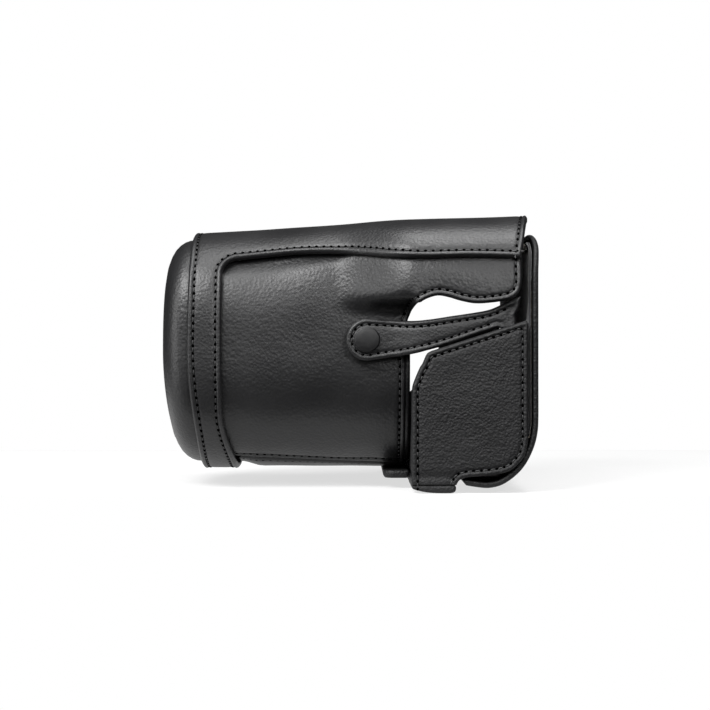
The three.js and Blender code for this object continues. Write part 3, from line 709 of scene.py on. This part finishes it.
# %% Moulded cap
CAP_RINGS = [(0.0, -9.0), (0.0, 1.0), (0.15, 2.6), (0.7, 4.2), (1.7, 5.8), (3.2, 7.3), (5.2, 8.5),
             (8.0, 9.5), (12, 10.2), (18, 10.7), (26, 11.0), (34, 11.1)]


def ring_points(inset, forward, count=128):
    """One ring of the cap: inset from the band's inner face and forward of the band's edge."""
    length, y, z = section(FRONT, UNDER + min(inset, 6))
    turn = np.linspace(0, len(y) - 1, count, endpoint=False).astype(int)
    keep = 1 - max(inset - 6, 0) / 40
    points = []
    for k in turn:
        yy, zz = y[k] * keep, LENS_Z + (z[k] - LENS_Z) * keep
        low = smooth((LENS_Z - zz) / 44)
        high = smooth((zz - LENS_Z) / 44)
        lean = 2.6 * low + 0.7 * high
        points.append((FRONT - forward + lean + 0.4, yy, zz))
    return points


def shell_from_rings(name, rings, thick, material):
    """A dish through rings of points, with a back face thick behind it, closed at the rim."""
    shape = bmesh.new()
    count = len(rings[0])
    front = [[shape.verts.new(at(*p)) for p in ring] for ring in rings]
    back = []
    for ring in rings:
        row = []
        for x, y, z in ring:
            far = math.hypot(y, z - LENS_Z)
            shrink = 1 - thick / max(far, thick * 2)
            row.append(shape.verts.new(at(x + thick * 0.9, y * shrink, LENS_Z + (z - LENS_Z) * shrink)))
        back.append(row)
    for skin in (front, back):
        for a, b in zip(skin, skin[1:]):
            for k in range(count):
                n = (k + 1) % count
                shape.faces.new((a[k], a[n], b[n], b[k]))
        middle = skin[-1]
        centre = shape.verts.new(sum((v.co for v in middle), Vector()) / count)
        for k in range(count):
            shape.faces.new((middle[k], middle[(k + 1) % count], centre))
    for k in range(count):
        n = (k + 1) % count
        shape.faces.new((front[0][k], front[0][n], back[0][n], back[0][k]))
    mesh = bpy.data.meshes.new(name)
    shape.to_mesh(mesh)
    shape.free()
    return finish_piece(name, mesh, material)


cap = shell_from_rings("front_cap_leather", [ring_points(i, f) for i, f in CAP_RINGS], 2.0, SMOOTH)
dress(cap, "cover", "smooth_leather", "front_cap")

# %% Cover lining
LINE_IN = 4.4


def lining_rear(side, lift):
    upright = [(JOIN - 2.6, round_to(JOIN - 2.6, z, side, LINE_IN))
               for z in np.linspace(10.5, 55 + lift, 24)]
    return upright + [
        (x, round_to(x, z, side, LINE_IN)) for x, z in
        ((JOIN - 0.6, 62 + lift), (JOIN + 3, 68 + lift), (JOIN + 8, 70.5 + lift), (JOIN + 20, 69 + lift),
         (WING_REAR - 4, 69.5 + lift),
         (WING_REAR - 1.4, 73 + lift), (WING_REAR - 1.4, 80))]


back_v = lining_rear(-1, 0), lining_rear(1, GRIP_LIFT)
low_front = section(BAND_REAR - 4.8, LINE_IN)[0]
low_rear = section(JOIN - 2.6, LINE_IN)[0]
front_run = [(BAND_REAR - 4.8, float(s)) for s in np.linspace(low_front[0], low_front[-1], 60)]
lining_sides = [
    ([(x, float(section(x, LINE_IN)[0][0])) for x in np.linspace(BAND_REAR - 4.8, JOIN - 2.6, 20)], False),
    ([(JOIN - 2.6, float(low_rear[0]))] + back_v[0], True),
    ([back_v[0][-1]] + back_v[1][::-1] + [(JOIN - 2.6, float(low_rear[-1]))], True),
    ([(x, float(section(x, LINE_IN)[0][-1])) for x in np.linspace(JOIN - 2.6, BAND_REAR - 4.8, 20)], False),
    (front_run[::-1], False),
]
lining = cut_panel("cover_lining_cloth", lining_sides, cover_at(LINE_IN), 0.8, LINING, 3.0, None, 0.1)
dress(lining, "cover", "napped_lining", "cover_lining")

# %% [markdown]
# ## Half case
# The sides are thick, drummed leather: stitched all round, cut high behind and low in front.
# They hold the base between them. A flat placer is enough here: u is X and v is the height.


# %% Half case sides
def flat_at(face, side):
    """Placer for a layer in a plane beside the camera; out points away from the case."""
    def place(u, v, out):
        return at(u, face + side * out, v)
    return place


def side_outline(drop):
    shoulder = JOIN + 6.7 + drop * 0.9
    slope = (58.8 - 48.4) / 32.6
    top = 48.4 + slope * (shoulder - JOIN - 6.7)
    nose = 35.8 - drop
    low = [(JOIN, 2.7), (JOIN + 15.2, 2.7)]
    under = spline([(34.5, 2.7), (35.6, 4.4), (38.2, 5.3), (42, 5.6), (47.6, 6.2), (52.4, 7.4), (55.5, 9.8),
                    (57.9, 13.0), (59.0, 18.0)], 6)
    back = [(REAR - 0.1, 18.0), (REAR - 0.05, 57.6), (REAR - 0.9, 58.75)]
    front = spline([(shoulder, top), (shoulder - 1.6, top - 1.1), (shoulder - 3.0, top - 4.2 - drop * 0.6),
                    (JOIN + 2.6, nose + 6.6), (JOIN + 0.4, nose + 1.2), (JOIN, nose - 2)], 6)
    return [(low, False), (under + back[1:] + front + [(JOIN, 2.7)], True)]


def side_piece(name, side, drop, cad):
    face = LEFT if side < 0 else RIGHT
    outline = side_outline(drop)
    waves = soft_waves(13, 0.35, 17 + side)
    grain = soft_waves(4.2, 0.10, 23 + side)

    def relief(u, v, edge):
        fold = -0.35 * math.exp(-((v - 5.6) / 1.3) ** 2) * smooth((36 - u) / 3)
        return waves(u, v, edge) + grain(u, v, edge) + fold

    piece = cut_panel(name, outline, flat_at(face, side), 2.0, GRAINED, 1.3, relief)
    dress(piece, "half_case", "grained_leather", cad)
    seam("half_case", outline[1][0], flat_at(face, side), 2.0)
    return piece


side_piece("left_side_leather", -1, 0, "left_side_panel")
side_piece("right_side_leather", 1, 11, "right_side_panel")

# %% [markdown]
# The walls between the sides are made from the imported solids: each is rebuilt as an even skin,
# relaxed so that its cut edges turn soft, and given a faint unevenness.


# %% Folded walls from the solids
def copy_of(cad, name):
    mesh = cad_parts[cad].data.copy()
    mesh.name = name
    mesh.materials.clear()
    return mesh


def folded_leather(name, cad, material, voxel=0.5, rounds=6, lump=0.12):
    """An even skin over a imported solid, relaxed and slightly uneven."""
    mesh = copy_of(cad, name)
    piece = bpy.data.objects.new(name, mesh)
    bpy.context.scene.collection.objects.link(piece)
    skin = piece.modifiers.new("skin", "REMESH")
    skin.mode = "VOXEL"
    skin.voxel_size = voxel / 1000
    relax = piece.modifiers.new("relax", "SMOOTH")
    relax.iterations = rounds
    relax.factor = 0.5
    baked = bpy.data.meshes.new_from_object(
        piece.evaluated_get(bpy.context.evaluated_depsgraph_get()))
    bpy.data.objects.remove(piece)
    normals = [v.normal.copy() for v in baked.vertices]
    for vertex, normal in zip(baked.vertices, normals):
        wave = noise.noise(vertex.co * 110)
        vertex.co += normal * (lump / 1000) * wave
    return finish_piece(name, baked, material)


def soft_sheet(name, cad, material, radius=0.25):
    """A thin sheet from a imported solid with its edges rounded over."""
    mesh = copy_of(cad, name)
    piece = bpy.data.objects.new(name, mesh)
    bpy.context.scene.collection.objects.link(piece)
    weld = piece.modifiers.new("weld", "WELD")
    weld.merge_threshold = 1e-6
    edge = piece.modifiers.new("edge", "BEVEL")
    edge.width = radius / 1000
    edge.segments = 2
    edge.limit_method = "ANGLE"
    edge.angle_limit = math.radians(40)
    edge.harden_normals = True
    baked = bpy.data.meshes.new_from_object(
        piece.evaluated_get(bpy.context.evaluated_depsgraph_get()))
    bpy.data.objects.remove(piece)
    return finish_piece(name, baked, material)


for name, cad in (("foot_leather", "front_foot"), ("front_wall_leather", "front_wall"),
                  ("grip_cover_leather", "grip_cover"), ("back_frame_leather", "back_frame"),
                  ("base_leather", "base_panel")):
    dress(folded_leather(name, cad, GRAINED), "half_case", "grained_leather", cad)

for name, cad, body in (("left_side_cloth", "left_side_lining", "half_case"),
                        ("right_side_cloth", "right_side_lining", "half_case"),
                        ("base_cloth", "base_lining", "half_case"),
                        ("front_cloth", "front_lining", "half_case"),
                        ("cap_cloth", "cap_lining", "cover")):
    dress(soft_sheet(name, cad, LINING), body, "napped_lining", cad)

for name, cad, body in (("base_stiffener", "base_board", "half_case"),
                        ("cap_stiffener", "cap_board", "cover"),
                        ("flap_stiffener", "flap_board", "flap")):
    dress(soft_sheet(name, cad, BOARD, 0.12), body, "fibre_board", cad)

# %% [markdown]
# ## Tongue
# The tongue under the barrel is the leather hinge between the cover and the half case.

# %% Tongue leather
def tongue_at(u, v, out):
    return at(v, u, 3.75 - out)


tongue_edge = ([(-31.4, 19.0)] + [(-31.4, 14.5)] + arc(-27.4, 14, 4, 180, 270, 8)
               + arc(27.4, 14, 4, 270, 360, 8) + [(31.4, 19.0)])
tongue_sides = [(tongue_edge, True), ([(31.4, 19.0), (-31.4, 19.0)], False)]
tongue = cut_panel("cover_tongue_leather", tongue_sides, tongue_at, 2.5, GRAINED, 1.6,
                   soft_waves(9, 0.2, 31))
dress(tongue, "cover", "grained_leather", "cover_tongue")
seam("cover", tongue_edge, tongue_at, 2.0)

# %% [markdown]
# ## Strap and snap
# The strap is one leather from its root inside the half case to its round end. It runs along the
# side, steps in towards the barrel and carries the snap's cap.

# %% Strap
SNAP = (4.2, 52.3)
STRAP_THICK = 2.0
STRAP_NEAR = 47.1 + STRAP_THICK
STRAP_FAR = 51.6 + STRAP_THICK


def strap_at(u, v, out):
    step = smooth((u - 11.5) / 13)
    face = STRAP_NEAR + (STRAP_FAR - STRAP_NEAR) * step
    lean = (STRAP_FAR - STRAP_NEAR) * (smooth((u - 11) / 13) - smooth((u - 12) / 13))
    return at(u - lean * out, -(face + out), v)


strap_low = spline([(4.2, 45.0), (9, 45.7), (15.4, 46.7), (22, 48.0), (27, 49.2), (32.8, 50.9),
                    (39, 53.0), (44, 54.7), (48.6, 56.2)], 5)
strap_root = [(48.6, 56.2), (50.9, 56.2), (51.2, 48.5), (54.6, 48.5), (54.8, 60.6)]
strap_rise = spline([(54.8, 60.6), (56.1, 63.2), (56.7, 67.0)], 4)
strap_high = spline([(56.7, 67.0), (53.4, 65.8), (50, 64.2), (45.6, 62.4), (39, 61.2), (32.9, 60.3),
                     (25.7, 59.2),
                     (19.2, 58.7), (12, 59.1), (4.2, 59.6)], 5)
strap_end = arc(SNAP[0], SNAP[1], 7.3, 90, 270, 20)
strap_sides = [(strap_low, True), (strap_root, False), (strap_rise, True), (strap_high, True),
               (strap_end, True)]
strap = cut_panel("snap_strap_leather", strap_sides, strap_at, STRAP_THICK, STRAP, 1.1,
                  soft_waves(7, 0.22, 41), 0.22)
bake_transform(strap)
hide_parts("snap_strap", "strap_anchor")
seam("strap", strap_high[8:] + strap_end[1:] + strap_low[1:-4], strap_at, 2.0)


# %% Snap
def turned_cap(name, profile, y_face, material):
    """A turned piece on the snap's axis: profile is (radius, distance out of the case)."""
    shape = bmesh.new()
    count = 48
    rings = []
    for radius, out in profile:
        if radius == 0:
            rings.append([shape.verts.new(at(SNAP[0], -(y_face + out), SNAP[1]))])
            continue
        rings.append([shape.verts.new(at(SNAP[0] + radius * math.cos(2 * math.pi * k / count),
                                         -(y_face + out),
                                         SNAP[1] + radius * math.sin(2 * math.pi * k / count)))
                      for k in range(count)])
    for a, b in zip(rings, rings[1:]):
        for k in range(count):
            n = (k + 1) % count
            corners = [a[k % len(a)], a[n % len(a)], b[n % len(b)], b[k % len(b)]]
            shape.faces.new(list(dict.fromkeys(corners)))
    mesh = bpy.data.meshes.new(name)
    shape.to_mesh(mesh)
    shape.free()
    return finish_piece(name, mesh, material)


DOME = [(0, -0.6), (1.5, -0.6), (1.5, 0.1), (3.9, 0.1), (4.3, 0.25), (4.45, 0.6), (4.4, 0.95), (4.2, 1.2),
        (3.9, 1.32), (3.6, 1.36), (3.3, 1.46), (2.8, 1.56), (2.0, 1.66), (1.1, 1.72), (0, 1.74)]
dome = turned_cap("snap_cap_enamel", DOME, STRAP_NEAR, ENAMEL)
dress(dome, "strap", "enamelled_snap", "snap_cap")

for cad in ("snap_stud", "snap_socket", "tripod_screw", "screw_clip", "screw_eyelet"):
    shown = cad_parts[cad]
    shown.data.materials.clear()
    shown.data.materials.append(STEEL)

# %% [markdown]
# ## Back flap
# One leather starts under the base, bends round the lower back edge and stands behind the
# camera. It is drawn as its side view, a curve in X and Z, and as its outline across that curve.

# %% Flap
FLAP_CURVE = spline([(37.2, 2.9), (41.6, 2.2), (45.5, 1.9), (49.4, 2.7), (52.6, 4.5), (55.3, 6.7),
                     (57.5, 9.2), (59.3, 12.2), (60.9, 16), (61.9, 20), (62.3, 25), (62.3, 40), (62.3, 60),
                     (62.3, 74), (62.6, 80), (62.8, 84), (62.2, 87.2), (60.6, 89.6)], 8)
curve_xz = np.array(FLAP_CURVE)
curve_t = np.concatenate([[0], np.cumsum(np.hypot(*np.diff(curve_xz, axis=0).T))])


def curve_place(inset):
    """Placer for a layer of the flap: u is Y and v the length along the side view."""
    def place(u, v, out):
        x, z = (float(np.interp(v, curve_t, curve_xz[:, k])) for k in (0, 1))
        x1, z1 = (float(np.interp(v - 0.8, curve_t, curve_xz[:, k])) for k in (0, 1))
        x2, z2 = (float(np.interp(v + 0.8, curve_t, curve_xz[:, k])) for k in (0, 1))
        size = math.hypot(x2 - x1, z2 - z1)
        nx, nz = (z2 - z1) / size, -(x2 - x1) / size
        return at(x + nx * (out - inset), u, z + nz * (out - inset))
    return place


def curve_at_x(x):
    return float(np.interp(x, curve_xz[:70, 0], curve_t[:70]))


def curve_at_z(z):
    low = np.argmin(curve_xz[:, 1])
    return float(np.interp(z, curve_xz[low:, 1], curve_t[low:]))


NOTCH = curve_at_x(49.6)
TOP = curve_t[-1] - 0.3
left_edge, right_edge = LEFT + 1.2, RIGHT - 1.2
corner = 18
flap_loop = ([(11, 0), (right_edge, 0)] + [(right_edge, TOP - corner)]
             + arc(right_edge - corner, TOP - corner, corner, 0, 90, 14)[1:]
             + arc(left_edge + corner, TOP - corner, corner, 90, 180, 14)
             + [(left_edge, 0), (-11, 0)])
flap_sides = [(flap_loop, True), ([(-11, 0), (-11, NOTCH), (11, NOTCH), (11, 0)], False)]
flap = cut_panel("back_flap_leather", flap_sides, curve_place(0), 1.6, GRAINED, 2.0,
                 soft_waves(24, 0.4, 51))
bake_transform(flap)
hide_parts("back_flap", "flap_anchor")
seam("flap", [(right_edge, curve_at_z(17))] + flap_loop[2:-2] + [(left_edge, curve_at_z(17))],
     curve_place(0), 2.0)

PAD_THICK = 0.7
low_pad = curve_at_z(19)
pad_loop = ([(LEFT + 3.2, low_pad), (RIGHT - 3.2, low_pad), (RIGHT - 3.2, TOP - 20)]
            + arc(RIGHT - 19.2, TOP - 18, 16, 0, 90, 12) + arc(LEFT + 19.2, TOP - 18, 16, 90, 180, 12)
            + [(LEFT + 3.2, low_pad)])


def pad_place(u, v, out):
    return curve_place(2.9)(u, v, -out)


def quilt(u, v, edge):
    return 0.25 * smooth(edge / 9) + 0.12 * noise.noise(Vector((u / 14, v / 14, 61)))


pad = cut_panel("flap_pad_cloth", [(pad_loop, True)], pad_place, PAD_THICK, LINING, 2.2, quilt, 0.15)
dress(pad, "flap", "napped_lining", "flap_pad")

# %% [markdown]
# ## Stitching
# Every seam is one row of saddle stitches: a short thread that dips into a needle hole at both
# ends. The holes are not cut: a flat black blob of painted shade, with no shine, stands for the
# dark inside of each one. A Geometry Nodes tree walks along the remembered seam lines and puts one
# thread and one blob of painted hole shade on each step; the leather's outward direction is stored
# on the line so that the thread lies flat on it.

# %% Thread and painted hole shade
PITCH = 2.6
THREAD_LENGTH = 1.7


def small_ellipsoid(name, size, material, around=8, along=5):
    shape = bmesh.new()
    bmesh.ops.create_uvsphere(shape, u_segments=around, v_segments=along, radius=0.5)
    for vertex in shape.verts:
        x, y, z = vertex.co
        vertex.co = Vector((z * size[0], y * size[1], x * size[2])) / 1000
    mesh = bpy.data.meshes.new(name)
    shape.to_mesh(mesh)
    shape.free()
    for polygon in mesh.polygons:
        polygon.use_smooth = True
    mesh.materials.append(material)
    return bpy.data.objects.new(name, mesh)


thread_form = small_ellipsoid("thread_form", (THREAD_LENGTH, 0.5, 0.42), THREAD)
# A black blob of painted shade that stands for each needle hole.
hole_form = small_ellipsoid("hole_form", (1.1, 0.95, 0.62), HOLE_SHADE, 8, 4)


# %% Node tree
def row_tree(name, form, offset):
    """Instances a form at every pitch along the lines, offset by a share of the pitch."""
    tree = bpy.data.node_groups.new(name, "GeometryNodeTree")
    face = tree.interface
    face.new_socket("Line", in_out="INPUT", socket_type="NodeSocketGeometry")
    pitch = face.new_socket("Pitch", in_out="INPUT", socket_type="NodeSocketFloat")
    face.new_socket("Stitches", in_out="OUTPUT", socket_type="NodeSocketGeometry")
    start = node(tree, "NodeGroupInput")
    curve = node(tree, "GeometryNodeMeshToCurve", None, Mesh=start.outputs["Line"])
    even = node(tree, "GeometryNodeResampleCurve", {"mode": "LENGTH"}, Curve=curve.outputs[0],
                Length=start.outputs["Pitch"])
    up = node(tree, "GeometryNodeInputNamedAttribute", {"data_type": "FLOAT_VECTOR"}, Name="up")
    run = node(tree, "GeometryNodeInputTangent")
    slide = node(tree, "ShaderNodeVectorMath", {"operation": "SCALE"}, i0=run.outputs[0],
                 Scale=offset * PITCH / 1000)
    moved = node(tree, "GeometryNodeSetPosition", None, Geometry=even.outputs[0],
                 Offset=slide.outputs[0])
    turn = node(tree, "FunctionNodeAxesToRotation", {"primary_axis": "X", "secondary_axis": "Z"},
                i0=run.outputs[0], i1=up.outputs[0])
    one = node(tree, "GeometryNodeObjectInfo", None, Object=form)
    stitches = node(tree, "GeometryNodeInstanceOnPoints", None, Points=moved.outputs[0],
                    Instance=one.outputs["Geometry"], Rotation=turn.outputs[0])
    real = node(tree, "GeometryNodeRealizeInstances", None, Geometry=stitches.outputs[0])
    painted = node(tree, "GeometryNodeSetMaterial", {}, Geometry=real.outputs[0],
                   Material=form.data.materials[0])
    end = tree.nodes.new("NodeGroupOutput")
    tree.links.new(painted.outputs[0], end.inputs[0])
    return tree, pitch.identifier


def stitch_rows(name, body, lines, form, offset):
    """All of one body's seams as one mesh of threads or of black blobs of painted hole shade."""
    mesh = bpy.data.meshes.new(name)
    points, edges, ups = [], [], []
    for line, up in lines:
        base = len(points)
        points += line
        ups += up
        edges += [(base + k, base + k + 1) for k in range(len(line) - 1)
                  if (line[k + 1] - line[k]).length < 0.003]
    mesh.from_pydata(points, edges, [])
    mesh.attributes.new("up", "FLOAT_VECTOR", "POINT").data.foreach_set(
        "vector", [c for up in ups for c in up])
    piece = bpy.data.objects.new(name, mesh)
    bpy.context.scene.collection.objects.link(piece)
    tree, pitch = row_tree(name + "_tree", form, offset)
    sewing = piece.modifiers.new("sewing", "NODES")
    sewing.node_group = tree
    sewing[pitch] = PITCH / 1000
    baked = bpy.data.meshes.new_from_object(
        piece.evaluated_get(bpy.context.evaluated_depsgraph_get()))
    bpy.data.objects.remove(piece)
    baked.name = name
    sewn = bpy.data.objects.new(name, baked)
    bpy.context.scene.collection.objects.link(sewn)
    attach(sewn, body)
    print(name, len(baked.polygons), "faces")
    return sewn


# %% Sew
for body, lines in SEAMS.items():
    stitch_rows(body + "_threads", body, lines, thread_form, 0.0)
    # The second row puts the blobs of painted hole shade between the threads.
    stitch_rows(body + "_needle_holes", body, lines, hole_form, 0.5)
